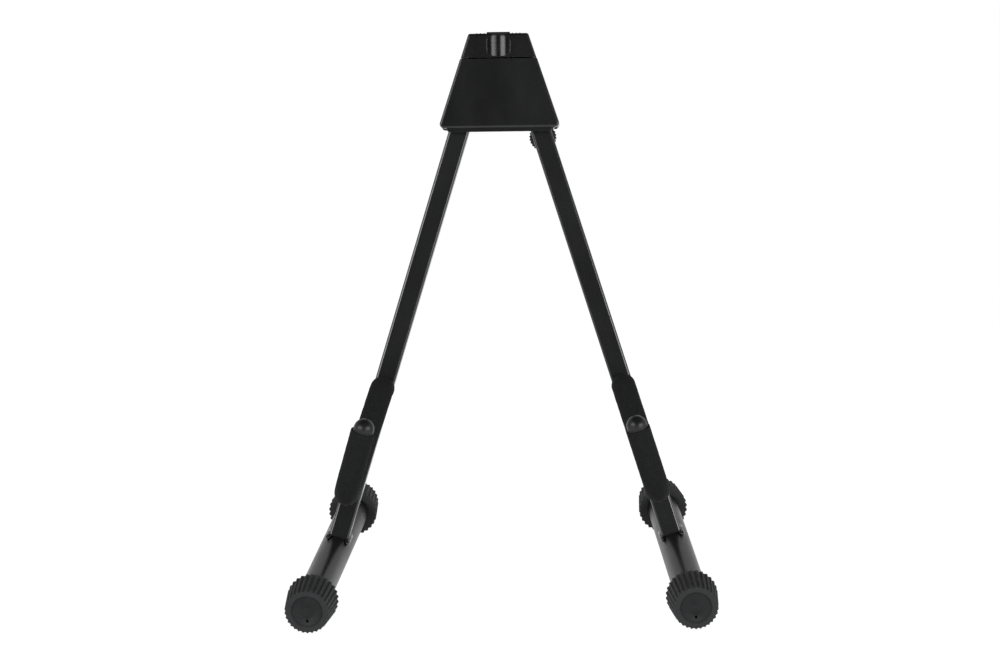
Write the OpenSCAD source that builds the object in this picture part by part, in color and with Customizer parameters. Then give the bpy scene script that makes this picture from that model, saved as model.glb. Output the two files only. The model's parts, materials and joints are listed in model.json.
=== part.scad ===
/* [Frame] */
// Length of each leg from the middle of its foot tube to its pivot
leg_len = 382.4; // [360:0.2:410]
// Angle of each leg away from the middle of the frame
leg_splay = 17.25; // [16:0.25:18.5]
// Backward lean of the frame
frame_lean = 13.6; // [11:0.2:16]
// Distance between the two leg pivots in the head
pivot_spread = 46; // [44:0.5:48]

/* [Legs] */
// Outer width of the square leg tube
leg_w = 16; // [14:0.5:17]
// Wall of the leg tube
leg_wall = 1.2; // [0.8:0.1:1.8]
// Outer corner radius of the leg tube
leg_corner = 2; // [1:0.25:2.5]
// Length of leg above its pivot
leg_over = 9; // [8:0.25:9.5]
// Radius of the round weld bead along each side of a leg's foot
weld_r = 2; // [1.7:0.1:2.5]

/* [Feet] */
// Outer diameter of the foot tube
foot_tube_d = 25.4; // [24:0.2:27]
// Wall of the foot tube
foot_tube_wall = 1.2; // [0.8:0.1:2]
// Distance from the leg to the mouth of the front foot cap
front_reach = 125; // [112:1:138]
// Distance from the leg to the mouth of the rear foot cap
rear_reach = 104; // [92:1:118]
// Largest diameter of a foot cap, at its mouth
cap_d = 40; // [38:0.5:41]
// Diameter of a foot cap at its end face
cap_face_d = 34.6; // [33:0.2:36]
// Length of a foot cap
cap_len = 33.8; // [30:0.2:38]
// Thickness of a foot cap's end wall
cap_end_wall = 3.6; // [3:0.2:5]
// Rounding of a foot cap's rims
cap_round = 1; // [0.6:0.1:1.6]
// Number of grip ribs round a foot cap
cap_ribs = 30; // [24:2:34]
// Radius of the groove between two ribs
rib_groove_r = 1.5; // [1.3:0.05:1.7]
// Depth of the groove between two ribs
rib_depth = 1.2; // [0.9:0.05:1.4]
// Diameter of the shallow dish in a foot cap's face
dish_d = 25; // [22:0.5:26]
// Depth of the dish in a foot cap's face
dish_depth = 0.8; // [0.4:0.1:1.2]
// Diameter of the air hole in a foot cap's face
vent_d = 2.2; // [1.6:0.1:3]
// Distance of the air hole below the middle of the face
vent_drop = 7.6; // [6:0.2:9]
// Depth of rubber flattened where a foot cap stands on the floor
cap_flat = 0.4; // [0.3:0.05:0.6]

/* [Cradle arms] */
// Diameter of the bent arm rod
rod_d = 8; // [6:0.25:9]
// Outer diameter of the foam sleeve
foam_d = 19.4; // [18:0.2:20]
// Clearance between the rod and the foam
foam_play = 0.15; // [0.1:0.05:0.3]
// Gap between the foam's upper end and the leg
foam_gap = 0.4; // [0.3:0.1:1]
// Height on the leg at which the arm rod is welded
arm_root = 135.2; // [127:0.2:143]
// Length of rod that stands straight out of the leg
arm_stub = 6.3; // [5.4:0.1:8]
// Centre line radius of the bend at the leg
root_bend_r = 8; // [7:0.5:9]
// Distance of the arm's tip in front of the leg, square to the leg
tip_forward = 112; // [104:1:120]
// Distance of the arm's tip below its root, along the leg
tip_drop = 30.1; // [26:0.1:34]
// Angle of the arm's front bar to the square of the leg
front_bar_angle = 72; // [66:1:78]
// Length of the arm's front bar, from the tip to the hook bend
front_bar = 42; // [38:0.5:45]
// Centre line radius of the hook bend
hook_r = 20; // [17:0.5:23]
// Diameter of the round cap on the arm's tip
tip_d = 16; // [15:0.2:17.6]
// Length of the straight skirt of the tip cap
tip_skirt = 2.3; // [2:0.1:4]
// Depth of the rod in the dome of the tip cap
tip_socket = 3; // [1:0.5:4]

/* [Head] */
// Width of the head at its bottom edge
head_w = 97.8; // [96:0.2:101]
// Width of the head at its top edge
head_top_w = 48.2; // [46:0.2:50]
// Height of the head
head_h = 75.1; // [73:0.1:78]
// Depth of the head from front to back
head_depth = 41.2; // [40:0.2:44]
// Wall of the head shells
shell_wall = 2.5; // [2:0.1:2.8]
// Height of the lower part of the head, below the lift cap
body_h = 55; // [54:0.1:56.5]
// Height of the leg pivots above the head's bottom edge
pivot_rise = 29.3; // [28.6:0.1:30]
// Radius of the head's bottom corners
head_corner = 3.5; // [2.5:0.1:4.5]
// Radius of the head's top corners
head_top_corner = 2.2; // [1.6:0.1:3]
// Rounding of the head's front and back edges
head_edge = 1.8; // [1.2:0.1:2.2]
// Distance the set-back lower lip of the front shell hangs below its face
lip_drop = 3.2; // [2:0.1:4]
// Running clearance between a leg or its bush and the head
side_play = 0.3; // [0.2:0.05:0.5]

/* [Lift cap] */
// Gap between the lift cap and the lower part of the head
cap_gap = 1; // [0.6:0.1:1.4]
// Set-back of the lift cap's face behind the head's face
cap_inset = 0.6; // [0.3:0.1:0.9]
// Upward travel of the lift cap
lift_travel = 7; // [4:0.5:8]
// Width of the finger scoop
scoop_w = 17.6; // [15:0.2:19]
// Depth of the finger scoop
scoop_depth = 5.6; // [3:0.1:6]
// Corner radius of the finger scoop
scoop_corner = 5.5; // [3.5:0.25:6]
// Height of the raised lip over the scoop
lip_h = 1.2; // [0.8:0.1:2]
// Height of the fine grip ribs on top of the cap
grip_rib_h = 0.4; // [0.3:0.05:0.7]
// Number of grip ribs on each side of the lip
grip_ribs = 3; // [2:1:5]
// Distance between two grip ribs
grip_pitch = 3; // [2:0.1:3.6]
// Diameter of the lift cap's guide stem
stem_d = 8; // [7:0.25:9]
// Wire room of the return spring round the stem
spring_wall = 1.6; // [1.2:0.1:2]

/* [Fasteners] */
// Diameter of a pivot bolt
bolt_d = 6; // [5:0.1:6.4]
// Radial running clearance of a bolt in its bush
bolt_play = 0.05; // [0.03:0.01:0.1]
// Outer diameter of a pivot bush
bush_d = 9; // [8.4:0.1:9.6]
// Thickness of a bush flange
bush_flange = 0.8; // [0.6:0.1:1]
// Diameter of a shell screw
screw_d = 3; // [2.5:0.1:3.5]
// Diameter of the lock knob
knob_d = 21.8; // [20:0.2:22.4]
// Thickness of the lock knob
knob_h = 12; // [10:0.5:14]
// Number of grooves round the lock knob
knob_grooves = 26; // [18:1:30]
// Distance of the lock knob below the leg pivot, along the leg
knob_drop = 37.4; // [36.6:0.2:39]
// Diameter of the lock knob's threaded stud
stud_d = 6; // [5:0.1:6.4]
// Thickness of the tongue that the knob clamps
tongue_t = 3; // [2.4:0.1:3.2]
// Thickness of the washer under the knob
washer_t = 1.2; // [0.8:0.1:1.6]

/* [Hidden] */
$fn = 64;
// Overshoot of a cutting solid past the face it cuts
over = 1;
// Extra radius of a bar in its bends, and the length of straight bar that reaches into a bend
bend_swell = 0.03;
bend_lap = 0.3;

// Frame geometry: the foot tubes lie level and turn out by toe, so that they lie parallel once the legs fold
toe = atan(sin(frame_lean) * tan(leg_splay));
foot_tip = atan(tan(frame_lean) / cos(leg_splay));
leg_stance = pivot_spread + 2 * leg_len * sin(leg_splay);
pivot_v = leg_len * cos(leg_splay);
cap_r = cap_d / 2;
cap_face_r = cap_face_d / 2;
foot_r = foot_tube_d / 2;
mitre_h = foot_r - 0.6;
axis_h = cap_r - cap_flat;
rim_out = (cap_face_r - cap_round) * sin(toe);
front_extent = (front_reach + cap_len) * cos(toe) + rim_out;
rear_extent = (rear_reach + cap_len) * cos(toe) + rim_out;
foot_y = (front_extent - rear_extent) / 2;

// Arm geometry in the plane of a leg, as [distance in front of the leg, height along the leg]
rod_r = rod_d / 2;
foam_r = foam_d / 2;
tip_r = tip_d / 2;
bar_dir = [cos(front_bar_angle), sin(front_bar_angle)];
hook_end = [tip_forward, arm_root - tip_drop] - front_bar * bar_dir;
hook_centre = hook_end - hook_r * [bar_dir[1], -bar_dir[0]];
root_centre = [leg_w / 2 + arm_stub, arm_root - root_bend_r];
hook_gap = hook_centre - root_centre;
bends_r = hook_r + root_bend_r;
slope_angle = asin(bends_r / norm(hook_gap)) - atan2(hook_gap[1], hook_gap[0]);
slope_len = sqrt(hook_gap * hook_gap - bends_r * bends_r);
hook_turn = slope_angle + front_bar_angle;
root_reach = root_bend_r * tan(slope_angle / 2);

// Head geometry, with its origin midway between the pivots
head_z0 = -pivot_rise;
body_z1 = head_z0 + body_h;
head_z1 = head_z0 + head_h;
cap_z0 = body_z1 + cap_gap;
side_slope = (head_w - head_top_w) / 2 / head_h;
head_y = head_depth / 2;
wall_y = head_y - shell_wall;
pivot_x = pivot_spread / 2;
bush_y = leg_w / 2 + bush_flange;
boss_y = bush_y + 0.1;
boss_r = 8;
screw_boss_r = 3.8;
pilot_r = screw_d / 2;
screw_points = [[0, head_z0 + 7.2], [-21, body_z1 - 7], [21, body_z1 - 7]];
screw_reach = 10;
screw_head_r = screw_d;
screw_head_h = 2.2;
bolt_head_r = 5;
bolt_head_h = 4;
nut_flats = 10;
nut_h = 5;
bolt_tip_y = boss_y + nut_h + 1;
bolt_seat_y = wall_y - bolt_head_h + 1.5;

// Lift cap geometry
shelf_z1 = body_z1 - 5.5;
shelf_t = 3;
plate_t = 3;
plate_z1 = -5;
plate_x = 12.5;
plate_y = 6;
stem_r = stem_d / 2;
stem_play = 0.2;
skirt_x = head_half(body_z1) - shell_wall - 0.5;
skirt_y = wall_y - 0.4;
skirt_wall = 2;
skirt_drop = 2.9;
lip_w = 18.4;
face_y = head_y - cap_inset;
trough_r = (scoop_w * scoop_w / 4 + scoop_depth * scoop_depth) / (2 * scoop_depth);
inner_top = head_z1 - 3;
cap_wall = 2.2;

// Lock geometry, in the frame of the right leg
knob_r = knob_d / 2;
stud_r = stud_d / 2;
tongue_y0 = leg_w / 2 + 1.1;
tongue_y1 = tongue_y0 + tongue_t;
washer_y0 = tongue_y1 + 0.1;
knob_y0 = washer_y0 + washer_t;
knob_room = 0.6;
tongue_half = 7.5;
insert_r = 4.5;
insert_len = 9;

function head_half(z) = head_w / 2 - (z - head_z0) * side_slope;
function corner_x(z, r) = head_half(z) - r * sqrt(1 + side_slope * side_slope);
// Half profile of a disc of radius r and half thickness h, with its rims rounded by e
function puck_profile(r, h, e, n = 5) = concat(
    [[0, -h]],
    [for (i = [0 : n]) [r - e + e * sin(90 * i / n), -h + e - e * cos(90 * i / n)]],
    [for (i = [0 : n]) [r - e + e * cos(90 * i / n), h - e + e * sin(90 * i / n)]],
    [[0, h]]
);

// Outline of a round-ended slot of half width r along an arc about the origin
function arc_slot(path_r, r, a0, a1, n = 12) = concat(
    [for (i = [0 : n]) (path_r + r) * heading(a0 + (a1 - a0) * i / n)],
    [for (i = [1 : n - 1]) path_r * heading(a1) + r * heading(a1 + 180 * i / n)],
    [for (i = [0 : n]) (path_r - r) * heading(a1 + (a0 - a1) * i / n)],
    [for (i = [1 : n - 1]) path_r * heading(a0) + r * heading(a0 + 180 + 180 * i / n)]
);
function heading(a) = [cos(a), sin(a)];

// Puts its children in the frame of a leg: up the leg along z, forward along -y
module leg_frame(s) {
    translate([s * leg_stance / 2, foot_y, axis_h])
        rotate([-frame_lean, 0, 0]) rotate([0, -s * leg_splay, 0]) children();
}

// Puts its children in the level frame of a foot tube: forward along -y
module foot_frame(s) {
    translate([s * leg_stance / 2, foot_y, axis_h]) rotate([0, 0, s * toe]) children();
}

// Puts its children in the frame of the head: up along z, forward along -y
module head_frame() {
    translate([0, foot_y, axis_h]) rotate([-frame_lean, 0, 0]) translate([0, 0, pivot_v]) children();
}

// A cylinder along y between two depths
module y_rod(r, y0, y1) {
    translate([0, y1, 0]) rotate([90, 0, 0]) cylinder(r = r, h = y1 - y0);
}

module rounded_square(w, r) {
    square([w - 2 * r, w], center = true);
    square([w, w - 2 * r], center = true);
    for (x = [-1, 1], y = [-1, 1])
        translate([x * (w / 2 - r), y * (w / 2 - r)]) circle(r);
}

module leg_section() {
    difference() {
        rounded_square(leg_w, leg_corner);
        rounded_square(leg_w - 2 * leg_wall, max(leg_corner - leg_wall, 0.2));
    }
}

// Round-ended weld bead along the side of the leg's mitred end, on the foot tube
module weld_bead() {
    half_len = leg_w / 2 / cos(foot_tip) + 0.6;
    translate([leg_w / 2, mitre_h * tan(foot_tip), mitre_h - 0.9])
        rotate([90, 0, 0]) rotate_extrude($fn = 32) polygon(puck_profile(weld_r, half_len, weld_r - 0.4));
}

module leg(s) {
    color("#101112")
        leg_frame(s)
            difference() {
                union() {
                    difference() {
                        linear_extrude(leg_len + leg_over) leg_section();
                        rotate([foot_tip, 0, 0])
                            translate([-leg_w, -2 * leg_w, -leg_w]) cube([2 * leg_w, 4 * leg_w, leg_w + mitre_h]);
                    }
                    rotate([foot_tip, 0, 0]) for (side = [0, 1]) mirror([side, 0, 0]) weld_bead();
                }
                rotate([foot_tip, 0, 0]) y_rod(foot_r, -2 * leg_w, 2 * leg_w);
                translate([0, 0, leg_len]) y_rod(bush_d / 2, -leg_w, leg_w);
                if (s > 0)
                    translate([0, 0, leg_len - knob_drop]) y_rod(insert_r, 0, leg_w);
            }
}

// Flanged bush from a leg's face inwards, with its flange outside
module bush() {
    difference() {
        union() {
            y_rod(bush_d / 2, leg_w / 2 - 6, leg_w / 2);
            y_rod(7, leg_w / 2, bush_y);
        }
        y_rod(bolt_d / 2 + bolt_play, 0, leg_w);
    }
}

module pivot_bushes(s) {
    color("#e9e7e0")
        leg_frame(s)
            translate([0, 0, leg_len])
                for (side = [0, 1]) mirror([0, side, 0]) bush();
}

module foot_tube(s) {
    color("#2a2b2d")
        foot_frame(s)
            difference() {
                y_rod(foot_r, -(front_reach + cap_len - cap_end_wall), rear_reach + cap_len - cap_end_wall);
                y_rod(foot_r - foot_tube_wall, -(front_reach + cap_len), rear_reach + cap_len);
            }
}

// Ribbed cap along z, with its mouth at z = 0
module foot_cap() {
    taper = atan((cap_r - cap_face_r) / cap_len);
    difference() {
        rotate_extrude()
            polygon([[foot_r, 0], [cap_r - cap_round, 0], [cap_r, cap_round],
                     [cap_face_r, cap_len - cap_round], [cap_face_r - cap_round, cap_len],
                     [dish_d / 2, cap_len], [dish_d / 2 - dish_depth, cap_len - dish_depth],
                     [0, cap_len - dish_depth], [0, cap_len - cap_end_wall], [foot_r, cap_len - cap_end_wall]]);
        for (i = [0 : cap_ribs - 1])
            rotate([0, 0, -90 + (i + 0.5) * 360 / cap_ribs])
                translate([cap_r + rib_groove_r - rib_depth, 0, 0])
                    rotate([0, -taper, 0])
                        translate([0, 0, -over]) cylinder(r = rib_groove_r, h = cap_len + 3 * over, $fn = 24);
        translate([0, -vent_drop, cap_len - cap_end_wall - over])
            cylinder(d = vent_d, h = cap_end_wall + 2 * over);
    }
}

// A foot cap on the front end of the tube (end = 0) or on the rear end (end = 1), flattened at the floor
module foot_cap_at(s, end) {
    color("#3b3c3d")
        foot_frame(s)
            difference() {
                if (end == 0)
                    translate([0, -front_reach, 0]) rotate([90, 0, 0]) foot_cap();
                else
                    translate([0, rear_reach, 0]) rotate([-90, 0, 0]) rotate([0, 0, 180]) foot_cap();
                translate([-cap_r, end == 0 ? -front_reach - cap_len - over : rear_reach - over, -cap_r - over])
                    cube([cap_d, cap_len + 2 * over, cap_r + over - axis_h]);
            }
}

// Moves its children along a path that runs up z and bends in the yz plane, towards +y for a positive turn
module go_run(len) {
    translate([0, 0, len]) children();
}

module go_bend(r, turn) {
    side = sign(turn);
    translate([0, side * r, 0]) rotate([-turn, 0, 0]) translate([0, -side * r, 0]) children();
}

// A straight stretch of round bar that reaches into the bends before and after it
module run(bar_r, len, lap0, lap1) {
    translate([0, 0, -lap0]) cylinder(r = bar_r, h = len + lap0 + lap1);
}

// A bent stretch of round bar
module bend(bar_r, r, turn) {
    rotate([0, 0, turn < 0 ? 180 : 0])
        translate([0, r, 0]) rotate([90, 0, -90])
            rotate_extrude(angle = abs(turn)) translate([r, 0]) circle(bar_r + bend_swell);
}

// Start of the arm at the front face of the leg, and start of its long slope
module arm_root_frame(s) {
    leg_frame(s) translate([0, -leg_w / 2, arm_root]) rotate([90, 180, 0]) children();
}

module slope_frame(s) {
    arm_root_frame(s) go_run(arm_stub) go_bend(root_bend_r, slope_angle) children();
}

module arm_tip_frame(s) {
    slope_frame(s) go_run(slope_len) go_bend(hook_r, -hook_turn) go_run(front_bar) children();
}

// Slope, hook bend and front bar as one round bar, with the slope begun early by a length before
module hook_bar(bar_r, before, bar_len) {
    run(bar_r, slope_len, before, bend_lap);
    go_run(slope_len) bend(bar_r, hook_r, -hook_turn);
    go_run(slope_len) go_bend(hook_r, -hook_turn) run(bar_r, bar_len, bend_lap, 0);
}

// The arm's bent round bar from the leg to past its tip
module arm_bar(s, bar_r, bar_len) {
    arm_root_frame(s) {
        run(bar_r, arm_stub, 0, bend_lap);
        go_run(arm_stub) bend(bar_r, root_bend_r, slope_angle);
    }
    slope_frame(s) hook_bar(bar_r, bend_lap, bar_len);
}

// Weld collar round the arm's root, grown by a margin
module root_collar(s, grow) {
    arm_root_frame(s) cylinder(r1 = rod_r + 1.5 + grow, r2 = rod_r - 0.1 + grow, h = 1.6 + grow);
}

module cradle_arm(s) {
    color("#131416") {
        root_collar(s, 0);
        arm_bar(s, rod_r, front_bar + tip_socket);
    }
}

// Foam sleeve, pushed up over the bend at the leg, where it fills the corner
module arm_foam(s) {
    color("#1b1b1c")
        difference() {
            union() {
                arm_root_frame(s) {
                    go_run(foam_gap) run(foam_r, arm_stub + root_reach - foam_gap, 0, 0);
                    go_run(arm_stub + root_reach) sphere(foam_r + bend_swell);
                }
                slope_frame(s) hook_bar(foam_r, root_reach, front_bar - tip_skirt);
            }
            arm_bar(s, rod_r + foam_play, front_bar);
            root_collar(s, foam_gap);
        }
}

module arm_tip(s) {
    color("#0b0b0c")
        arm_tip_frame(s)
            difference() {
                union() {
                    translate([0, 0, -tip_skirt]) cylinder(r = tip_r, h = tip_skirt);
                    translate([0, 0, -tip_skirt]) cylinder(r = tip_r + 0.35, h = 1.2);
                    intersection() {
                        sphere(tip_r);
                        cylinder(r = tip_d, h = tip_d);
                    }
                }
                translate([0, 0, -tip_skirt - over]) cylinder(r = rod_r, h = tip_skirt + tip_socket + over);
            }
}

// Outer form of the whole head, with rounded corners and edges
module head_form(half_depth, inset) {
    low_z = head_z0 + head_corner;
    high_z = head_z1 - head_top_corner;
    hull() {
        for (s = [-1, 1]) {
            translate([s * (corner_x(low_z, head_corner) - inset), 0, low_z])
                rotate([90, 0, 0])
                    rotate_extrude($fn = 32) polygon(puck_profile(head_corner, half_depth, head_edge));
            translate([s * (corner_x(high_z, head_top_corner) - inset), 0, high_z])
                rotate([90, 0, 0])
                    rotate_extrude($fn = 32) polygon(puck_profile(head_top_corner, half_depth, head_edge));
        }
    }
}

// Hollow of the head between two heights, inside the shell walls, grown into the walls by a margin
module head_cavity(z0, z1, grow = 0) {
    low = cavity_half(z0) + grow;
    high = cavity_half(z1) + grow;
    rotate([90, 0, 0])
        linear_extrude(2 * (wall_y + grow), center = true)
            polygon([[-low, z0], [low, z0], [high, z1], [-high, z1]]);
}
function cavity_half(z) = head_half(z) - shell_wall * sqrt(1 + side_slope * side_slope);

// Lower part of the head as a hollow shell, open at its bottom and top, and only its front or rear half
module half_shell(rear) {
    intersection() {
        head_form(head_y, 0);
        translate([-head_w, rear ? 0 : -head_depth, head_z0 - over])
            cube([2 * head_w, head_depth, body_h + over]);
    }
}

module shell_hollow() {
    head_cavity(head_z0 - over, body_z1 + over);
}

module at_screws() {
    for (p = screw_points) translate([p[0], 0, p[1]]) children();
}

module at_pivots() {
    for (s = [-1, 1]) translate([s * pivot_x, 0, 0]) children();
}

// Strip of the front wall that hangs below the head's bottom edge, set back from its face
module lower_lip() {
    half = head_w / 2 - 7;
    corner = 2.5;
    rotate([90, 0, 0])
        translate([0, 0, wall_y])
            linear_extrude(shell_wall - head_edge / 2) {
                translate([-half, head_z0 - lip_drop + corner]) square([2 * half, lip_drop + head_corner]);
                translate([-half + corner, head_z0 - lip_drop]) square([2 * (half - corner), corner + over]);
                for (s = [-1, 1]) translate([s * (half - corner), head_z0 - lip_drop + corner]) circle(corner);
            }
}

module front_shell() {
    color("#0d0d0e")
        head_frame()
            difference() {
                union() {
                    difference() {
                        half_shell(false);
                        shell_hollow();
                    }
                    lower_lip();
                    at_pivots() y_rod(boss_r, -wall_y - shell_wall / 2, -boss_y);
                    at_screws() y_rod(screw_boss_r, -wall_y - shell_wall / 2, 0);
                }
                at_pivots() {
                    y_rod(bolt_d / 2, -bolt_tip_y, 0);
                    rotate([90, 0, 0])
                        translate([0, 0, boss_y - over])
                            cylinder(d = nut_flats / cos(30), h = nut_h + over, $fn = 6);
                }
                at_screws() y_rod(pilot_r, -screw_reach, over);
            }
}

// Block on the side wall that an opened leg rests against
module spread_stop(s) {
    intersection() {
        head_cavity(head_z0, body_z1, shell_wall / 2);
        translate([s * pivot_x, 0, 0])
            rotate([0, -s * leg_splay, 0])
                translate([s > 0 ? leg_w / 2 + side_play : -leg_w / 2 - side_play - 12, side_play, head_z0 - 4])
                    cube([12, tongue_y1 - side_play, 12]);
    }
}

// Room that a round of radius r on the lock axis sweeps about the right pivot as the leg folds
module lock_sweep(r, y0, y1) {
    translate([pivot_x, y1, 0])
        rotate([90, 0, 0])
            linear_extrude(y1 - y0) polygon(arc_slot(knob_drop, r, -90, leg_splay - 90));
}

// Tongue behind the opened right leg that the knob clamps, open towards the middle for the stud
module lock_tongue() {
    web_z = knob_r + knob_room + 3 - knob_drop;
    translate([pivot_x, 0, 0])
        rotate([0, -leg_splay, 0]) {
            translate([-tongue_half, tongue_y0, -knob_drop - tongue_half])
                cube([2 * tongue_half, tongue_t, knob_drop + tongue_half - boss_r - 4]);
            translate([-tongue_half, tongue_y0, web_z])
                cube([2 * tongue_half, wall_y + shell_wall / 2 - tongue_y0, 8]);
        }
}

module rear_shell() {
    fold_stop_x = pivot_x - leg_w / 2 - side_play;
    color("#0d0d0e")
        head_frame()
            difference() {
                union() {
                    difference() {
                        half_shell(true);
                        shell_hollow();
                    }
                    at_pivots() y_rod(boss_r, boss_y, wall_y + shell_wall / 2);
                    at_screws() y_rod(screw_boss_r, 0, wall_y + shell_wall / 2);
                    for (s = [-1, 1]) spread_stop(s);
                    translate([-fold_stop_x, side_play, head_z0 + 1.2])
                        cube([2 * fold_stop_x, wall_y + shell_wall / 2 - side_play, 10]);
                    translate([-11, -8, shelf_z1 - shelf_t])
                        cube([22, 8 + wall_y + shell_wall / 2, shelf_t]);
                    lock_tongue();
                }
                at_pivots() {
                    y_rod(bolt_d / 2, 0, head_depth);
                    y_rod(bolt_head_r, bolt_seat_y, head_depth);
                }
                at_screws() {
                    y_rod(pilot_r + 0.2, -over, head_depth);
                    y_rod(screw_head_r, head_y - screw_head_h - 1, head_depth);
                }
                translate([0, 0, shelf_z1 - shelf_t - over]) cylinder(r = stem_r + stem_play, h = shelf_t + 2 * over);
                lock_sweep(knob_r + knob_room, wall_y - over, head_depth);
                lock_sweep(stud_r + side_play, tongue_y0 - over, tongue_y1 + over);
            }
}

module shell_screws() {
    seat_y = head_y - screw_head_h - 1;
    color("#8d8f92")
        head_frame() at_screws()
            difference() {
                union() {
                    y_rod(pilot_r, -screw_reach + 0.5, seat_y);
                    y_rod(screw_head_r - 0.2, seat_y, seat_y + screw_head_h);
                }
                for (turn = [0, 90])
                    rotate([0, turn, 0])
                        translate([-2, seat_y + screw_head_h - 1.2, -0.4]) cube([4, 1.2 + over, 0.8]);
            }
}

module pivot_bolts() {
    color("#7d7f82")
        head_frame() at_pivots()
            difference() {
                union() {
                    y_rod(bolt_d / 2, -bolt_tip_y, bolt_seat_y);
                    y_rod(bolt_head_r - 0.2, bolt_seat_y, bolt_seat_y + bolt_head_h);
                }
                translate([0, bolt_seat_y + bolt_head_h + over, 0])
                    rotate([90, 0, 0]) cylinder(d = 5.6, h = 2.4 + over, $fn = 6);
            }
}

module pivot_nuts() {
    color("#7d7f82")
        head_frame() at_pivots()
            difference() {
                rotate([90, 0, 0])
                    translate([0, 0, boss_y]) cylinder(d = nut_flats / cos(30), h = nut_h, $fn = 6);
                y_rod(bolt_d / 2, -boss_y - nut_h - over, 0);
            }
}

// Outline of the finger scoop, in x and z, grown by a margin
module scoop_outline(grow) {
    w = scoop_w / 2 + grow;
    r = scoop_corner + grow;
    low = cap_z0 + 1 - grow;
    high = head_z1 - 1.2 + grow;
    translate([-w, low + r]) square([2 * w, high - low - 2 * r]);
    translate([-w + r, low]) square([2 * (w - r), high - low]);
    for (s = [-1, 1], z = [low + r, high - r]) translate([s * (w - r), z]) circle(r);
}

// Vertical trough cut into the front face of the lift cap
module trough(r, z0, z1) {
    translate([0, -face_y - trough_r + scoop_depth, z0]) cylinder(r = r, h = z1 - z0);
}

module scoop_cut() {
    intersection() {
        trough(trough_r, cap_z0 - over, head_z1 + head_h);
        rotate([90, 0, 0]) linear_extrude(head_depth) scoop_outline(0);
    }
}

// Wall behind the trough, inside the cap
module scoop_wall() {
    half = scoop_w / 2 + cap_wall;
    intersection() {
        trough(trough_r + cap_wall, cap_z0, inner_top + 0.5);
        translate([-half, 1 - face_y, cap_z0]) cube([2 * half, scoop_depth + cap_wall, inner_top - cap_z0 + 1]);
    }
}

// Thin raised rim round the finger scoop
module scoop_rim() {
    translate([0, -face_y + 1, 0])
        rotate([90, 0, 0])
            linear_extrude(1 + 0.35)
                difference() {
                    scoop_outline(0.7);
                    scoop_outline(0);
                }
}

module lift_cap() {
    color("#0b0b0c")
        head_frame()
            difference() {
                union() {
                    difference() {
                        union() {
                            intersection() {
                                head_form(face_y, 0.3);
                                translate([-head_w, -head_depth, cap_z0]) cube([2 * head_w, 2 * head_depth, head_h]);
                            }
                            translate([-skirt_x, -skirt_y, body_z1 - skirt_drop])
                                cube([2 * skirt_x, 2 * skirt_y, skirt_drop + cap_gap + 0.5]);
                        }
                        translate([-skirt_x + skirt_wall, -skirt_y + skirt_wall, body_z1 - skirt_drop - over])
                            cube([2 * (skirt_x - skirt_wall), 2 * (skirt_y - skirt_wall), skirt_drop + 2 * over]);
                        rotate([90, 0, 0])
                            linear_extrude(2 * (face_y - cap_wall), center = true)
                                polygon([[-skirt_x + skirt_wall, body_z1], [skirt_x - skirt_wall, body_z1],
                                         [head_half(inner_top) - 4, inner_top],
                                         [-head_half(inner_top) + 4, inner_top]]);
                    }
                    translate([0, 0, shelf_z1]) cylinder(r = stem_r + 2, h = inner_top - shelf_z1 + 1);
                    translate([0, 0, plate_z1]) cylinder(r = stem_r, h = inner_top - plate_z1);
                    for (side = [0, 1]) mirror([0, side, 0]) {
                        scoop_wall();
                        scoop_rim();
                    }
                    translate([-lip_w / 2, -face_y + 3, head_z1 - 1]) cube([lip_w, 2 * face_y - 6, 1 + lip_h]);
                    for (s = [-1, 1], i = [0 : grip_ribs - 1])
                        translate([s * (lip_w / 2 + 2 + grip_pitch * i) - 0.5, -face_y + 3, head_z1 - 1])
                            cube([1, 2 * face_y - 6, 1 + grip_rib_h]);
                }
                for (side = [0, 1]) mirror([0, side, 0]) scoop_cut();
                translate([0, 0, plate_z1 - over]) cylinder(r = pilot_r, h = 10 + over);
            }
}

module latch_plate() {
    color("#9a9c9f")
        head_frame()
            difference() {
                translate([-plate_x, -plate_y, plate_z1 - plate_t]) cube([2 * plate_x, 2 * plate_y, plate_t]);
                translate([0, 0, plate_z1 - plate_t - over]) cylinder(r = pilot_r, h = plate_t + 2 * over);
            }
}

module latch_screw() {
    color("#8d8f92")
        head_frame()
            translate([0, 0, plate_z1 - plate_t - screw_head_h]) {
                difference() {
                    cylinder(r = screw_head_r, h = screw_head_h);
                    translate([0, 0, -over]) cylinder(d = 2.6, h = 1.4 + over, $fn = 6);
                }
                translate([0, 0, screw_head_h]) cylinder(r = pilot_r, h = plate_t + 8);
            }
}

// Room of the return spring between the latch plate and the guide shelf
module return_spring() {
    color("#a7a9ac")
        head_frame()
            difference() {
                translate([0, 0, plate_z1]) cylinder(r = stem_r + stem_play + spring_wall, h = shelf_z1 - shelf_t - plate_z1);
                translate([0, 0, plate_z1 - over]) cylinder(r = stem_r + stem_play, h = body_h);
            }
}

// Puts its children on the axis of the lock knob
module lock_frame() {
    leg_frame(1) translate([0, 0, leg_len - knob_drop]) children();
}

module lock_nut() {
    color("#8d8f92")
        lock_frame()
            difference() {
                union() {
                    y_rod(insert_r, leg_w / 2 - insert_len, leg_w / 2);
                    y_rod(insert_r + 1.5, leg_w / 2, leg_w / 2 + 0.8);
                }
                y_rod(stud_r + bolt_play, -leg_w, leg_w);
            }
}

module lock_washer() {
    color("#8d8f92")
        lock_frame()
            difference() {
                y_rod(7, washer_y0, washer_y0 + washer_t);
                y_rod(stud_r + bolt_play, washer_y0 - over, knob_y0 + over);
            }
}

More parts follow.
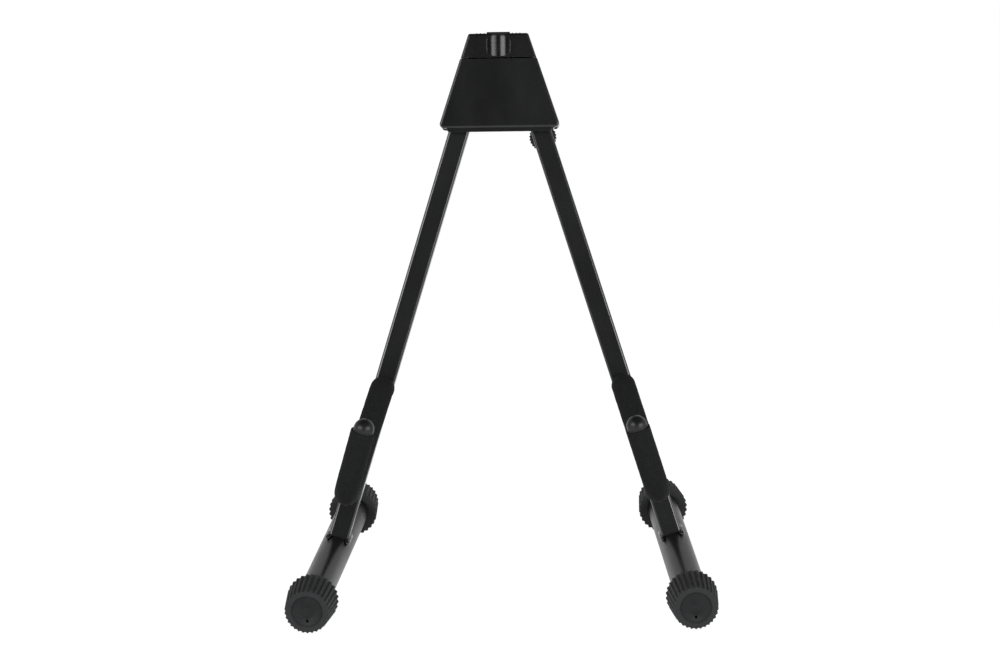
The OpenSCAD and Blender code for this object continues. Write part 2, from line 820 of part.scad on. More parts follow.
module lock_knob() {
    hub_y1 = knob_y0 + knob_h;
    color("#161617")
        lock_frame()
            difference() {
                union() {
                    y_rod(knob_r, knob_y0 + 1.5, hub_y1 - 1.5);
                    y_rod(knob_r - 1.5, knob_y0, hub_y1);
                }
                for (i = [0 : knob_grooves - 1])
                    rotate([0, i * 360 / knob_grooves, 0])
                        translate([knob_r + 0.35, 0, 0]) y_rod(1, knob_y0 - over, hub_y1 + over, $fn = 20);
                y_rod(stud_r, knob_y0 - over, knob_y0 + knob_h - 3);
                translate([0, hub_y1 - 0.8, 0]) y_rod(knob_r - 4, 0, 0.8 + over);
            }
}

module lock_stud() {
    color("#8d8f92") lock_frame() y_rod(stud_r, leg_w / 2 - insert_len - 2, knob_y0 + knob_h - 3);
}

front_shell();
rear_shell();
shell_screws();
pivot_bolts();
pivot_nuts();
lift_cap();
latch_plate();
latch_screw();
return_spring();
leg(-1);  // left_leg
pivot_bushes(-1);  // left_pivot_bushes
foot_tube(-1);  // left_foot_tube
foot_cap_at(-1, 0);  // left_front_foot_cap
foot_cap_at(-1, 1);  // left_rear_foot_cap
cradle_arm(-1);  // left_cradle_arm
arm_foam(-1);  // left_arm_foam
arm_tip(-1);  // left_arm_tip
leg(1);  // right_leg
pivot_bushes(1);  // right_pivot_bushes
foot_tube(1);  // right_foot_tube
foot_cap_at(1, 0);  // right_front_foot_cap
foot_cap_at(1, 1);  // right_rear_foot_cap
cradle_arm(1);  // right_cradle_arm
arm_foam(1);  // right_arm_foam
arm_tip(1);  // right_arm_tip
lock_nut();
lock_washer();
lock_knob();
lock_stud();
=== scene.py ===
"""Looks of the folding guitar stand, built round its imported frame. Lengths are in metres, as in the frame."""
import json
import math
from math import radians

import bmesh
import bpy
from mathutils import Matrix, Vector, noise


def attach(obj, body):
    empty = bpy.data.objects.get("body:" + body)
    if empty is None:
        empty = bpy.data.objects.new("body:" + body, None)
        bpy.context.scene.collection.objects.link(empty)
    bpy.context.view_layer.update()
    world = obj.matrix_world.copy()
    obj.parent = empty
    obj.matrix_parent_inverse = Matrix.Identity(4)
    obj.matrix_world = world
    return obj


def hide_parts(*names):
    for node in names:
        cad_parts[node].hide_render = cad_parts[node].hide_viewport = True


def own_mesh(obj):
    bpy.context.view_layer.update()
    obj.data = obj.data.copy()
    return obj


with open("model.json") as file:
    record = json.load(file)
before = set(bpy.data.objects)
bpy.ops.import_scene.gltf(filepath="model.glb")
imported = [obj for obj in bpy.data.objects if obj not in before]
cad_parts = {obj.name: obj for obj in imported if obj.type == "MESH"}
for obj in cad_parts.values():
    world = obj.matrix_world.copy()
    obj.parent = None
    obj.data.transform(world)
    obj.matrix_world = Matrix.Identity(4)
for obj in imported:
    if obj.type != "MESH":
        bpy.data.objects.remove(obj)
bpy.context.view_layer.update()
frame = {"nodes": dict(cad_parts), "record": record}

MM = 0.001

# Sizes that the frame shares with the pieces made here: legs and feet
LEG_LEN = 382.4 * MM
LEG_W = 16 * MM
SPLAY = radians(17.25)
LEAN = radians(13.6)
PIVOT_SPREAD = 46 * MM
AXIS_H = 19.6 * MM
FOOT_Y = 10.472 * MM
FOOT_R = 12.7 * MM
FRONT_REACH = 125 * MM
REAR_REACH = 104 * MM
CAP_LEN = 33.8 * MM
CAP_DISH = 0.8 * MM
WELD_R = 2 * MM
STANCE = PIVOT_SPREAD + 2 * LEG_LEN * math.sin(SPLAY)
TOE = math.atan(math.sin(LEAN) * math.tan(SPLAY))
FOOT_TIP = math.atan(math.tan(LEAN) / math.cos(SPLAY))
PIVOT_V = LEG_LEN * math.cos(SPLAY)
SIDES = {"left": -1, "right": 1}

# The padded arm, in the plane of its leg: distances in front of the leg's axis and heights along it
ARM_ROOT = 135.2 * MM
ARM_STUB = 6.3 * MM
ROOT_BEND_R = 8 * MM
HOOK_R = 20 * MM
BAR_ANGLE = radians(72)
BAR_LEN = 42 * MM
TIP = (112 * MM, 105.1 * MM)
TIP_SKIRT = 2.3 * MM
FOAM_R = 9.7 * MM
FOAM_BORE = 4.3 * MM
FOAM_GAP = 0.4 * MM
COLLAR_BORE = 6 * MM
COLLAR_H = 2.2 * MM

# The lift cap's spring, with heights above the pivots
SPRING_LOW, SPRING_HIGH = -5 * MM, 17.2 * MM
SPRING_R = 5 * MM


# Frames of reference

def leg_frame(s):
    """Up the leg along z, forward along -y, with its origin on the foot tube."""
    return (Matrix.Translation((s * STANCE / 2, FOOT_Y, AXIS_H))
            @ Matrix.Rotation(-LEAN, 4, "X") @ Matrix.Rotation(-s * SPLAY, 4, "Y"))


def foot_frame(s):
    """Level frame of a foot tube, forward along -y."""
    return Matrix.Translation((s * STANCE / 2, FOOT_Y, AXIS_H)) @ Matrix.Rotation(s * TOE, 4, "Z")


def head_frame():
    """Frame of the head, with its origin midway between the pivots."""
    return (Matrix.Translation((0, FOOT_Y, AXIS_H)) @ Matrix.Rotation(-LEAN, 4, "X")
            @ Matrix.Translation((0, 0, PIVOT_V)))


def leg_body(s):
    return f"{'left' if s < 0 else 'right'}_leg_body"


# Materials

class Nodes:
    """Short way to write a material's node tree."""

    def __init__(self, name):
        self.mat = bpy.data.materials.new(name)
        self.mat.use_nodes = True
        self.tree = self.mat.node_tree
        self.tree.nodes.clear()
        self.out = self.add("ShaderNodeOutputMaterial")
        self.bsdf = self.add("ShaderNodeBsdfPrincipled")
        self.link(self.bsdf.outputs[0], self.out.inputs["Surface"])
        self.coord = self.add("ShaderNodeTexCoord").outputs["Object"]

    def add(self, kind, **values):
        node = self.tree.nodes.new(kind)
        for key, value in values.items():
            if hasattr(node, key):
                setattr(node, key, value)
            else:
                node.inputs[key.replace("_", " ")].default_value = value
        return node

    def link(self, source, target):
        self.tree.links.new(source, target)

    def noise(self, scale, detail=2.0, roughness=0.5, stretch=None):
        node = self.add("ShaderNodeTexNoise", Scale=scale, Detail=detail, Roughness=roughness)
        self.link(self.stretched(stretch), node.inputs["Vector"])
        return node.outputs["Fac"]

    def cells(self, scale):
        node = self.add("ShaderNodeTexVoronoi", Scale=scale)
        self.link(self.coord, node.inputs["Vector"])
        return node.outputs["Distance"]

    def stretched(self, stretch):
        if stretch is None:
            return self.coord
        node = self.add("ShaderNodeMapping", Scale=stretch)
        self.link(self.coord, node.inputs["Vector"])
        return node.outputs["Vector"]

    def ramp(self, fac, stops):
        node = self.add("ShaderNodeValToRGB")
        points = node.color_ramp.elements
        while len(points) < len(stops):
            points.new(0.5)
        for point, (place, colour) in zip(points, stops):
            point.position = place
            point.color = (*colour, 1)
        self.link(fac, node.inputs["Fac"])
        return node.outputs["Color"]

    def greys(self, fac, value, spread, stops=(0.3, 0.5, 0.75)):
        """Three near shades of a grey with a slight cool cast, darkest first."""
        shades = [tuple(value * k * c for c in (0.97, 1.0, 1.04)) for k in (1 - spread, 1, 1 + spread)]
        return self.ramp(fac, list(zip(stops, shades)))

    def mixed(self, fac, colour, other):
        """A colour that turns into another one where fac is 1."""
        node = self.add("ShaderNodeMix", data_type="RGBA")
        self.link(fac, node.inputs["Factor"])
        self.link(colour, node.inputs["A"])
        node.inputs["B"].default_value = (*other, 1)
        return node.outputs["Result"]

    def span(self, fac, low, high, start=0.0, end=1.0):
        """Low to high as fac goes from start to end."""
        node = self.add("ShaderNodeMapRange", From_Min=start, From_Max=end, To_Min=low, To_Max=high)
        self.link(fac, node.inputs["Value"])
        return node.outputs["Result"]

    def join(self, a, b, operation="ADD"):
        node = self.add("ShaderNodeMath", operation=operation)
        for k, value in enumerate((a, b)):
            if isinstance(value, (int, float)):
                node.inputs[k].default_value = value
            else:
                self.link(value, node.inputs[k])
        return node.outputs[0]

    def curvature(self):
        """Below 0.5 in a groove, 0.5 on a flat face and above it on an edge that stands proud."""
        return self.add("ShaderNodeNewGeometry").outputs["Pointiness"]

    def hollows(self, reach):
        """From 0 in a deep groove to 1 where nothing stands round the surface within reach."""
        return self.add("ShaderNodeAmbientOcclusion", samples=6, Distance=reach).outputs["AO"]

    def bump(self, height, distance, strength=1.0, normal=None):
        node = self.add("ShaderNodeBump", Distance=distance, Strength=strength)
        self.link(height, node.inputs["Height"])
        if normal is not None:
            self.link(normal, node.inputs["Normal"])
        return node.outputs["Normal"]

    def soft_edges(self, radius):
        return self.add("ShaderNodeBevel", samples=4, Radius=radius).outputs["Normal"]

    def finish(self, **values):
        for key, value in values.items():
            socket = self.bsdf.inputs[key.replace("_", " ")]
            if isinstance(value, (int, float, tuple)):
                socket.default_value = value
            else:
                self.link(value, socket)
        return self.mat


def head_plastic(name="head_plastic", value=0.0105, rough_low=0.17, rough_high=0.27):
    n = Nodes(name)
    flow = n.noise(28, 3, 0.55, (1.0, 1.0, 0.35))
    grain = n.noise(2600, 2)
    colour = n.greys(flow, value, 0.22, (0.3, 0.5, 0.72))
    rough = n.join(n.span(flow, rough_low, rough_high, 0.3, 0.7),
                   n.span(n.noise(420, 4, 0.6), 0, 0.05, 0.4, 0.8))
    normal = n.bump(flow, 0.00035, 0.35, n.soft_edges(0.0006))
    return n.finish(Base_Color=colour, Roughness=rough, Normal=n.bump(grain, 0.000012, 0.5, normal),
                    Specular_IOR_Level=0.5, IOR=1.5)


def cap_plastic():
    """A darker, rougher copy of the head's plastic, for the lift cap."""
    return head_plastic("cap_plastic", 0.0045, 0.24, 0.31)


def leg_paint():
    n = Nodes("leg_paint")
    peel = n.noise(520, 2, 0.4)
    drift = n.noise(16, 3)
    colour = n.greys(drift, 0.0108, 0.2)
    rough = n.join(n.span(drift, 0.16, 0.24, 0.3, 0.7), n.span(n.noise(1900, 3), 0, 0.05, 0.45, 0.75))
    normal = n.bump(peel, 0.00006, 0.3, n.soft_edges(0.0004))
    return n.finish(Base_Color=colour, Roughness=rough, Normal=normal, Coat_Weight=0.35, Coat_Roughness=0.12)


def tube_paint():
    n = Nodes("tube_paint")
    peel = n.noise(900, 3, 0.5)
    drift = n.noise(22, 3)
    colour = n.greys(drift, 0.0135, 0.16)
    rough = n.join(n.span(drift, 0.29, 0.35, 0.3, 0.7), n.span(peel, 0, 0.05, 0.4, 0.8))
    return n.finish(Base_Color=colour, Roughness=rough, Normal=n.bump(peel, 0.00005, 0.35), IOR=1.25)


def cap_rubber():
    n = Nodes("cap_rubber")
    cloud = n.noise(70, 4, 0.6)
    grain = n.noise(1700, 3, 0.6)
    edges = n.curvature()
    # Painted shade: the rubber turns near black in the rib grooves, in the dish's corner and round the tube's
    # mouth, wherever occlusion and pointiness find a hollow.
    painted_groove_shade = n.join(n.span(n.hollows(0.006), 0.95, 0, 0.68, 0.98),
                     n.span(edges, 0.9, 0, 0.43, 0.495), "MAXIMUM")
    # Proud edges and rib crests turn a lighter grey, partly as dust and partly as a painted highlight.
    dust_and_crest_highlight = n.join(n.span(edges, 0, 1, 0.5, 0.555), 0.4, "MULTIPLY")
    colour = n.mixed(painted_groove_shade, n.greys(cloud, 0.0235, 0.25), (0.003, 0.003, 0.003))
    colour = n.mixed(dust_and_crest_highlight, colour, (0.06, 0.061, 0.063))
    rough = n.join(n.span(cloud, 0.5, 0.64, 0.3, 0.7), n.span(grain, 0, 0.08, 0.4, 0.7))
    normal = n.bump(grain, 0.00004, 0.6, n.soft_edges(0.0005))
    return n.finish(Base_Color=colour, Roughness=rough, Normal=normal, Specular_IOR_Level=0.16)


def foam():
    n = Nodes("foam")
    pores = n.cells(1500)
    skin = n.noise(320, 4, 0.6)
    mottle = n.join(n.span(pores, 0.0, 0.6, 0.0, 0.8), n.span(skin, 0.0, 0.5, 0.3, 0.7))
    colour = n.greys(mottle, 0.0122, 0.45, (0.15, 0.5, 0.9))
    rough = n.span(skin, 0.86, 0.97, 0.3, 0.7)
    normal = n.bump(skin, 0.00025, 0.45)
    return n.finish(Base_Color=colour, Roughness=rough, Normal=n.bump(pores, 0.00012, 0.7, normal),
                    Specular_IOR_Level=0.15)


def tip_plastic():
    n = Nodes("tip_plastic")
    flow = n.noise(160, 3)
    colour = n.greys(flow, 0.008, 0.2)
    return n.finish(Base_Color=colour, Roughness=n.span(flow, 0.34, 0.42, 0.3, 0.7),
                    Normal=n.bump(n.noise(700, 2), 0.00003, 0.3), Specular_IOR_Level=0.4)


def knob_plastic():
    n = Nodes("knob_plastic")
    grain = n.noise(2200, 3, 0.6)
    cloud = n.noise(90, 3)
    colour = n.greys(cloud, 0.02, 0.2)
    return n.finish(Base_Color=colour, Roughness=n.span(grain, 0.42, 0.6, 0.35, 0.65),
                    Normal=n.bump(grain, 0.00004, 0.6, n.soft_edges(0.0003)))


def bush_plastic():
    n = Nodes("bush_plastic")
    cloud = n.noise(120, 3)
    colour = n.ramp(cloud, [(0.3, (0.62, 0.6, 0.55)), (0.7, (0.74, 0.72, 0.67))])
    return n.finish(Base_Color=colour, Roughness=n.span(cloud, 0.35, 0.45, 0.3, 0.7),
                    Normal=n.bump(n.noise(1500, 2), 0.00002, 0.4), Subsurface_Weight=0.1)


def zinc_steel():
    n = Nodes("zinc_steel")
    lathe = n.noise(900, 4, 0.6, (1.0, 0.12, 1.0))
    bloom = n.noise(180, 3)
    colour = n.ramp(bloom, [(0.3, (0.42, 0.43, 0.45)), (0.6, (0.55, 0.56, 0.58)), (0.8, (0.6, 0.6, 0.6))])
    rough = n.join(n.span(lathe, 0.22, 0.34, 0.3, 0.7), n.span(bloom, 0, 0.06, 0.4, 0.8))
    return n.finish(Base_Color=colour, Metallic=1.0, Roughness=rough,
                    Normal=n.bump(lathe, 0.00002, 0.4, n.soft_edges(0.0002)))


def spring_steel():
    n = Nodes("spring_steel")
    drawn = n.noise(1400, 3, 0.6, (1.0, 1.0, 0.2))
    colour = n.ramp(drawn, [(0.3, (0.3, 0.31, 0.33)), (0.7, (0.46, 0.47, 0.49))])
    return n.finish(Base_Color=colour, Metallic=1.0, Roughness=n.span(drawn, 0.25, 0.4, 0.3, 0.7),
                    Normal=n.bump(drawn, 0.00001, 0.4))


MATERIALS = {make.__name__: make() for make in (
    head_plastic, cap_plastic, leg_paint, tube_paint, cap_rubber, foam, tip_plastic, knob_plastic,
    bush_plastic, zinc_steel, spring_steel)}
MATERIALS["rod_paint"] = MATERIALS["leg_paint"]

for part in frame["record"]["subparts"]:
    piece = frame["nodes"][part["node"]]
    for slot in piece.material_slots:
        slot.material = MATERIALS["cap_plastic" if part["node"] == "lift_cap" else part["material_slot"]]


# Mesh pieces

def add_mesh(name, verts, faces, slot, body):
    """Smooth piece with the finish of a material slot, riding on a body."""
    mesh = bpy.data.meshes.new(name)
    mesh.from_pydata([tuple(v) for v in verts], [], faces)
    mesh.update()
    bm = bmesh.new()
    bm.from_mesh(mesh)
    bmesh.ops.recalc_face_normals(bm, faces=bm.faces)
    bm.to_mesh(mesh)
    bm.free()
    for polygon in mesh.polygons:
        polygon.use_smooth = True
    obj = bpy.data.objects.new(name, mesh)
    bpy.context.scene.collection.objects.link(obj)
    mesh.materials.append(MATERIALS[slot])
    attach(obj, body)
    return obj


def ring_faces(rings, count, closed=True):
    """Quads between rings of count points each, joined last to first if closed."""
    faces = []
    for k in range(rings if closed else rings - 1):
        a, b = k * count, (k + 1) % rings * count
        for i in range(count):
            j = (i + 1) % count
            faces.append((a + i, a + j, b + j, b + i))
    return faces


def capped_faces(rings, count):
    """Quads between rings of count points each, with a face over the first and the last ring."""
    last = (rings - 1) * count
    return ring_faces(rings, count, closed=False) + [tuple(range(count)), tuple(range(last, last + count))]


FOAM_STEP = 1.2 * MM
ROOT_SHARE = 2.2


def arm_path():
    """Centre line of the padded rod from the leg to the tip cap, as (place, heading, hook share, length so
    far) in the plane of the leg: x is the distance in front of the leg and y the height along it. The bend at
    the leg counts ROOT_SHARE times its length, so that its steps are closer. Also the fold under that bend,
    as (place, heading across it)."""
    bar = Vector((math.cos(BAR_ANGLE), math.sin(BAR_ANGLE)))
    end = Vector(TIP) - BAR_LEN * bar
    hook = end - HOOK_R * Vector((bar.y, -bar.x))
    root = Vector((LEG_W / 2 + ARM_STUB, ARM_ROOT - ROOT_BEND_R))
    gap = hook - root
    reach = HOOK_R + ROOT_BEND_R
    slope = math.asin(reach / gap.length) - math.atan2(gap.y, gap.x)
    run = math.sqrt(gap.length_squared - reach ** 2)
    along = Vector((math.cos(slope), -math.sin(slope)))
    start = root + ROOT_BEND_R * Vector((math.sin(slope), math.cos(slope)))
    turn = slope + BAR_ANGLE
    path = []

    def stretch(length, place_at):
        before = path[-1][3] if path else 0.0
        steps = round(length / FOAM_STEP)
        for k in range(1 if path else 0, steps + 1):
            t = length * k / steps
            path.append((*place_at(t), before + t))

    def root_bend(t):
        a = t / ROOT_SHARE / ROOT_BEND_R
        return root + ROOT_BEND_R * Vector((math.sin(a), math.cos(a))), -a, 0.0

    def hook_bend(t):
        a = t / HOOK_R - slope
        hook_share = math.sin(math.pi * min(1.0, t / HOOK_R / turn)) ** 0.5
        return hook + HOOK_R * Vector((math.sin(a), -math.cos(a))), a, hook_share

    stretch(ARM_STUB - FOAM_GAP, lambda t: (Vector((LEG_W / 2 + FOAM_GAP + t, ARM_ROOT)), 0.0, 0.0))
    stretch(ROOT_BEND_R * slope * ROOT_SHARE, root_bend)
    stretch(run, lambda t: (start + along * t, -slope, 0.0))
    stretch(HOOK_R * turn, hook_bend)
    stretch(BAR_LEN - TIP_SKIRT, lambda t: (end + bar * t, BAR_ANGLE, 0.0))
    return path, (root, -slope / 2)


FOAM_SIDES = 56
FOAM_LIP = 0.7 * MM
FOAM_SLACK = 0.12 * MM
CUT_SINK = 0.15 * MM
MOUTH_DEPTH = 6 * MM
FOLD_GAP = 0.12 * MM
FOLD_SPREAD = 20 * MM
CREASE_PITCH = 4.6 * MM
CREASE_DEPTH = 0.55 * MM


def foam_sleeve(name, s):
    """Foam tube on the arm: cut square at both ends, a little uneven, folded under the bend at the leg and
    creased inside the hook."""
    path, (fold, across) = arm_path()
    total = path[-1][3]
    bend_end = next(point[3] for point in path if point[1] < across * 1.99)
    fold_end = bend_end + FOLD_SPREAD
    fold_normal = Vector((math.cos(across), math.sin(across)))
    place = leg_frame(s)
    verts = []

    def ring(centre, heading, radius_at, t):
        """Ring of vertices, of which radius_at gives radius and shift along the sleeve at each angle from the
        top. Near the fold, neither side passes it."""
        along = Vector((math.cos(heading), math.sin(heading)))
        up = Vector((-math.sin(heading), math.cos(heading)))
        for i in range(FOAM_SIDES):
            a = 2 * math.pi * i / FOAM_SIDES
            r, shift = radius_at(a)
            spot = centre + along * shift + r * math.cos(a) * up
            if t < fold_end:
                past = (spot - fold).dot(fold_normal)
                if heading > across and past > -FOLD_GAP:
                    spot -= along * (past + FOLD_GAP) / along.dot(fold_normal)
                elif heading <= across and past < FOLD_GAP:
                    spot -= along * (past - FOLD_GAP) / along.dot(fold_normal)
            verts.append(place @ Vector((r * math.sin(a), -spot.x, spot.y)))

    def outside(bend, t):
        """Outer skin at t along the sleeve, with bend the share of the hook's creases."""
        def radius_at(a):
            spot = Vector((math.cos(a) * 7, math.sin(a) * 7 + s * 31, t / MM * 0.35))
            swell = 0.16 * MM * noise.noise(spot * 0.55) + 0.09 * MM * noise.noise(spot * 1.7)
            inner = max(0.0, math.cos(a)) ** 1.5 * bend
            wave = 0.5 + 0.5 * math.cos(2 * math.pi * t / CREASE_PITCH + 1.4 * math.sin(a))
            to_lip = FOAM_LIP - min(t, total - t, FOAM_LIP)
            rounding = FOAM_LIP - math.sqrt(max(0.0, FOAM_LIP ** 2 - to_lip ** 2))
            return FOAM_R - FOAM_SLACK + swell - CREASE_DEPTH * inner * wave ** 3 - rounding, 0.0
        return radius_at

    def shifted(point, by):
        return point[0] + Vector((math.cos(point[1]), math.sin(point[1]))) * by

    def face_ring(point, r, depth):
        """Ring on the cut face at one end, or in the bore or collar behind it."""
        def radius_at(a):
            cut = 0.08 * MM * noise.noise(Vector((math.cos(a) * r / MM * 3, math.sin(a) * r / MM * 3, s * 9)))
            return r, depth + cut
        ring(point[0], point[1], radius_at, point[3])

    lip_steps = [FOAM_LIP * (1 - math.cos(math.pi / 2 * k / 5)) for k in range(6)]
    first, last = path[0], path[-1]
    for t in lip_steps:
        ring(shifted(first, t), first[1], outside(0, t), t)
    for point in path[1:-1]:
        if min(point[3], total - point[3]) > FOAM_LIP * 1.3:
            ring(point[0], point[1], outside(point[2], point[3]), point[3])
    for t in reversed(lip_steps):
        ring(shifted(last, -t), last[1], outside(0, total - t), total)
    for r in (8.6, 7.4, 6.2, 5.2):
        face_ring(last, r * MM, -CUT_SINK)
    face_ring(last, FOAM_BORE, -2 * CUT_SINK)
    face_ring(last, FOAM_BORE, -MOUTH_DEPTH)
    bore = [point for point in path[6:-6] if point[3] > COLLAR_H + 0.8 * MM]
    for point in reversed(bore[::3]):
        ring(point[0], point[1], lambda a: (FOAM_BORE, 0.0), total)
    face_ring(first, FOAM_BORE, COLLAR_H + 2 * CUT_SINK)
    face_ring(first, COLLAR_BORE, COLLAR_H)
    face_ring(first, COLLAR_BORE, 2 * CUT_SINK)
    for r in (6.8, 7.7, 8.6):
        face_ring(first, r * MM, CUT_SINK)
    return add_mesh(name, verts, ring_faces(len(verts) // FOAM_SIDES, FOAM_SIDES), "foam", leg_body(s))


for side, s in SIDES.items():
    sleeve = foam_sleeve(f"{side}_foam_sleeve", s)
    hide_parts(f"{side}_arm_foam")


def spring_coil():
    """Compression spring with a closed turn at each end."""
    wire_r, seat_gap, closed_pitch = 0.6 * MM, 0.05 * MM, 1.25 * MM
    turns, steps, sides = 7.4, 36, 10
    low, high = SPRING_LOW + wire_r + seat_gap, SPRING_HIGH - wire_r
    open_pitch = (high - seat_gap - low - 2 * closed_pitch) / (turns - 2)
    height, points = low, []
    place = head_frame()
    for k in range(round(turns * steps) + 1):
        turn = k / steps
        if k:
            height += (closed_pitch if turn <= 1 or turn > turns - 1 else open_pitch) / steps
        a = 2 * math.pi * turn
        points.append(Vector((SPRING_R * math.cos(a), SPRING_R * math.sin(a), min(height, high))))
    verts = []
    for point in points:
        out = Vector((point.x, point.y, 0)).normalized()
        for i in range(sides):
            a = 2 * math.pi * i / sides
            verts.append(place @ (point + wire_r * (math.cos(a) * out + math.sin(a) * Vector((0, 0, 1)))))
    coil = add_mesh("spring_coil", verts, capped_faces(len(points), sides), "spring_steel", "head")
    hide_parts("return_spring")
    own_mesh(coil)


spring_coil()


def weld_ripples(name, s, side):
    """Overlapping ripples along the weld bead at one side of a leg's foot."""
    around, steps = 20, 96
    pitch, ripple_height, skin = 1.35 * MM, 0.22 * MM, 0.05 * MM
    sink, overhang, inner_cut = 1.5 * MM, 0.5 * MM, 0.8 * MM
    half = LEG_W / 2 / math.cos(FOOT_TIP) + overhang
    bead_height = FOOT_R - sink
    place = leg_frame(s) @ Matrix.Rotation(FOOT_TIP, 4, "X") @ Matrix.Translation(
        (side * LEG_W / 2, -(FOOT_R - 0.6 * MM) * math.tan(FOOT_TIP), bead_height))
    inward = Vector((-side * LEG_W / 2, 0, -bead_height)).normalized()
    verts = []
    for k in range(steps + 1):
        y = half * math.cos(math.pi * k / steps)
        close = math.sqrt(max(0.0, 1 - (abs(y) / half) ** 6))
        ripple = (y + half + 0.3 * MM * math.sin(y * 2400 + s)) / pitch % 1.0
        for i in range(around):
            a = 2 * math.pi * i / around
            out = Vector((math.cos(a), 0, math.sin(a)))
            r = WELD_R + skin + ripple_height * ripple ** 1.6
            if out.dot(inward) > 0:
                r = min(r, WELD_R - inner_cut * out.dot(inward))
            verts.append(place @ (r * close * out + Vector((0, y, 0))))
    add_mesh(name, verts, capped_faces(steps + 1, around), "leg_paint", leg_body(s))


def gate_mark(name, s, forward):
    """Faint ring and nub that the mould gate leaves in the middle of a foot cap's dish."""
    around = 32
    radius_and_lift = [(2.9, -0.3), (2.75, 0.02), (2.5, 0.13), (2.2, 0.13), (1.95, 0.03), (1.1, 0.03),
                       (0.9, 0.16), (0.45, 0.2), (0.12, 0.12)]
    reach = (FRONT_REACH if forward < 0 else REAR_REACH) + CAP_LEN - CAP_DISH
    place = foot_frame(s)
    verts = []
    for r, lift in radius_and_lift:
        wobble = 1 + 0.012 * noise.noise(Vector((r, s * 5, forward * 3)))
        for i in range(around):
            a = 2 * math.pi * i / around
            verts.append(place @ Vector((r * wobble * MM * math.cos(a), forward * (reach + lift * MM),
                                         r * wobble * MM * math.sin(a))))
    add_mesh(name, verts, capped_faces(len(radius_and_lift), around), "cap_rubber", leg_body(s))


for side, s in SIDES.items():
    for end, forward in (("front", -1), ("rear", 1)):
        gate_mark(f"{side}_{end}_gate_mark", s, forward)
    for face, across in (("outer", s), ("inner", -s)):
        weld_ripples(f"{side}_{face}_weld", s, across)


# Stage, light and camera

FLOOR_HALF = 30
FLOOR_GREY = 0.86
FLOOR_GLOW = 1.2

# Strengths of the backdrop and of the room's darkest and lightest parts, and where the backdrop fades in
# and out, as the y and z of a direction
BACKDROP = 0.8
ROOM = (0.03, 0.2)
BACKDROP_Y = (-0.45, 0.2)
BACKDROP_Z = (0.4, 0.85)


def rays(tree, *kinds):
    """1 on a ray of any of these kinds, otherwise 0."""
    paths = tree.nodes.new("ShaderNodeLightPath")
    fac = paths.outputs[kinds[0]]
    for kind in kinds[1:]:
        most = tree.nodes.new("ShaderNodeMath")
        most.operation = "MAXIMUM"
        tree.links.new(fac, most.inputs[0])
        tree.links.new(paths.outputs[kind], most.inputs[1])
        fac = most.outputs[0]
    return fac


def floor_material():
    """Pale floor, seen as near white in the view and in reflections, with the stand's soft shadow."""
    mat = bpy.data.materials.new("floor")
    mat.use_nodes = True
    tree = mat.node_tree
    tree.nodes.clear()
    new, link = tree.nodes.new, tree.links.new
    out = new("ShaderNodeOutputMaterial")
    plain = new("ShaderNodeBsdfDiffuse")
    plain.inputs["Color"].default_value = (FLOOR_GREY, FLOOR_GREY, FLOOR_GREY, 1)
    glow = new("ShaderNodeEmission")
    glow.inputs["Strength"].default_value = FLOOR_GLOW
    seen = new("ShaderNodeMixShader")
    seen.inputs["Fac"].default_value = 0.8
    link(plain.outputs[0], seen.inputs[1])
    link(glow.outputs[0], seen.inputs[2])
    both = new("ShaderNodeMixShader")
    link(rays(tree, "Is Camera Ray", "Is Glossy Ray", "Is Transmission Ray"), both.inputs["Fac"])
    link(plain.outputs[0], both.inputs[1])
    link(seen.outputs[0], both.inputs[2])
    link(both.outputs[0], out.inputs["Surface"])
    return mat


floor_mesh = bpy.data.meshes.new("floor")
floor_mesh.from_pydata([(FLOOR_HALF * x, FLOOR_HALF * y, 0) for x, y in ((-1, -1), (1, -1), (1, 1), (-1, 1))],
                       [], [(0, 1, 2, 3)])
floor = bpy.data.objects.new("floor", floor_mesh)
floor_mesh.materials.append(floor_material())
bpy.context.scene.collection.objects.link(floor)


def fade(tree, source, start, end, low, high):
    """Low to high, smoothly, as source goes from start to end."""
    node = tree.nodes.new("ShaderNodeMapRange")
    node.interpolation_type = "SMOOTHSTEP"
    for key, value in (("From Min", start), ("From Max", end), ("To Min", low), ("To Max", high)):
        node.inputs[key].default_value = value
    tree.links.new(source, node.inputs["Value"])
    return node.outputs["Result"]


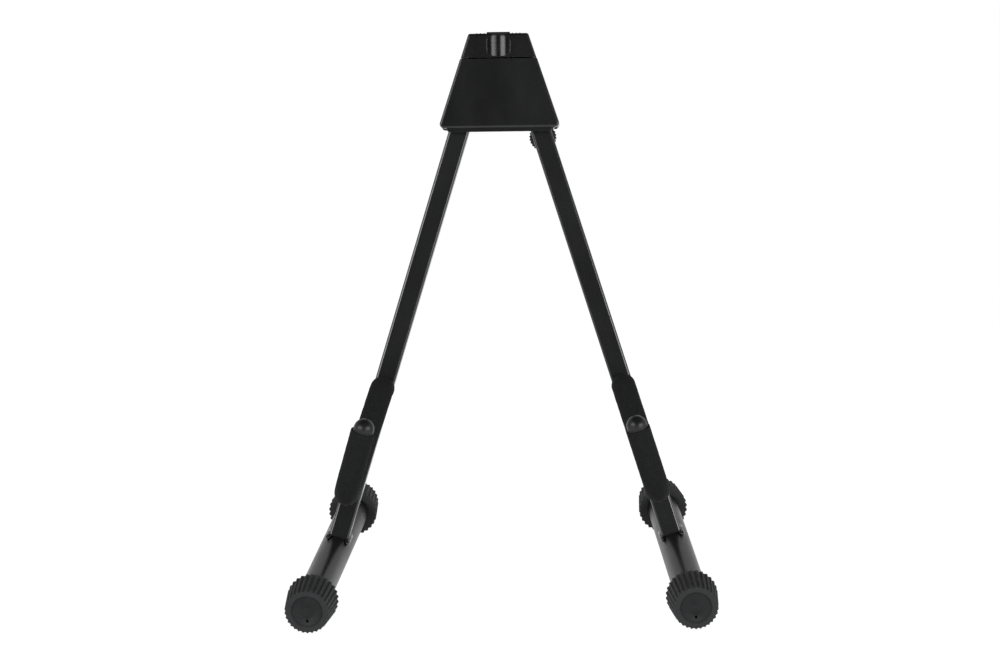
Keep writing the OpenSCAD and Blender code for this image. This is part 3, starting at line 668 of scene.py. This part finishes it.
def studio():
    """White backdrop behind and beside the stand, dark room behind the camera and overhead. The camera sees
    white all round."""
    world = bpy.data.worlds.new("studio")
    world.use_nodes = True
    tree = world.node_tree
    tree.nodes.clear()
    new, link = tree.nodes.new, tree.links.new
    out = new("ShaderNodeOutputWorld")
    direction = new("ShaderNodeTexCoord").outputs["Generated"]
    split = new("ShaderNodeSeparateXYZ")
    link(direction, split.inputs[0])
    backdrop = new("ShaderNodeMath")
    backdrop.operation = "MULTIPLY"
    link(fade(tree, split.outputs["Y"], *BACKDROP_Y, 0, 1), backdrop.inputs[0])
    link(fade(tree, split.outputs["Z"], *BACKDROP_Z, 1, 0), backdrop.inputs[1])
    clutter = new("ShaderNodeTexNoise")
    clutter.inputs["Scale"].default_value = 2.6
    clutter.inputs["Detail"].default_value = 1.0
    link(direction, clutter.inputs["Vector"])
    room = fade(tree, backdrop.outputs[0], 0, 1, 0, BACKDROP)
    link(fade(tree, clutter.outputs["Fac"], 0.35, 0.65, *ROOM), room.node.inputs["To Min"])
    seen = new("ShaderNodeMath")
    seen.operation = "MAXIMUM"
    link(rays(tree, "Is Camera Ray", "Is Transmission Ray"), seen.inputs[0])
    link(room, seen.inputs[1])
    shine = new("ShaderNodeBackground")
    link(seen.outputs[0], shine.inputs["Strength"])
    link(shine.outputs[0], out.inputs["Surface"])
    return world


bpy.context.scene.world = studio()

LIGHT_AIM, LIGHT_SIZE, LIGHT_POWER = (0, 0, 0.2), (1.7, 0.8), 25


def soft_light(name, place):
    """A broad lamp that faces the middle of the stand."""
    data = bpy.data.lights.new(name, "AREA")
    data.shape = "RECTANGLE"
    data.size, data.size_y = LIGHT_SIZE
    data.energy = LIGHT_POWER
    obj = bpy.data.objects.new(name, data)
    obj.location = place
    obj.rotation_euler = (Vector(LIGHT_AIM) - Vector(place)).to_track_quat("-Z", "Y").to_euler()
    bpy.context.scene.collection.objects.link(obj)


soft_light("key", (-1.5, -1.42, 0.98))
soft_light("fill", (1.55, -1.45, 0.66))

CAMERA_PLACE, CAMERA_LENS = (0.0698, -2.7496, 0.8835), 129.6
YAW, PITCH, ROLL = radians(-1.47), radians(13.97), radians(-1.07)


def photo_camera():
    """The photograph's camera, fitted to its tubes, legs and caps."""
    data = bpy.data.cameras.new("camera")
    data.sensor_width = 36
    data.lens = CAMERA_LENS
    data.clip_start = 0.05
    data.clip_end = 100
    forward = Vector((math.sin(YAW) * math.cos(PITCH), math.cos(YAW) * math.cos(PITCH), -math.sin(PITCH)))
    level = Vector((math.cos(YAW), -math.sin(YAW), 0))
    upright = level.cross(forward)
    right = math.cos(ROLL) * level + math.sin(ROLL) * upright
    up = -math.sin(ROLL) * level + math.cos(ROLL) * upright
    turned = Matrix((right, up, -forward)).transposed().to_4x4()
    camera = bpy.data.objects.new("camera", data)
    camera.matrix_world = Matrix.Translation(CAMERA_PLACE) @ turned
    bpy.context.scene.collection.objects.link(camera)
    return camera


bpy.context.scene.camera = photo_camera()
bpy.context.scene.view_settings.view_transform = "Standard"
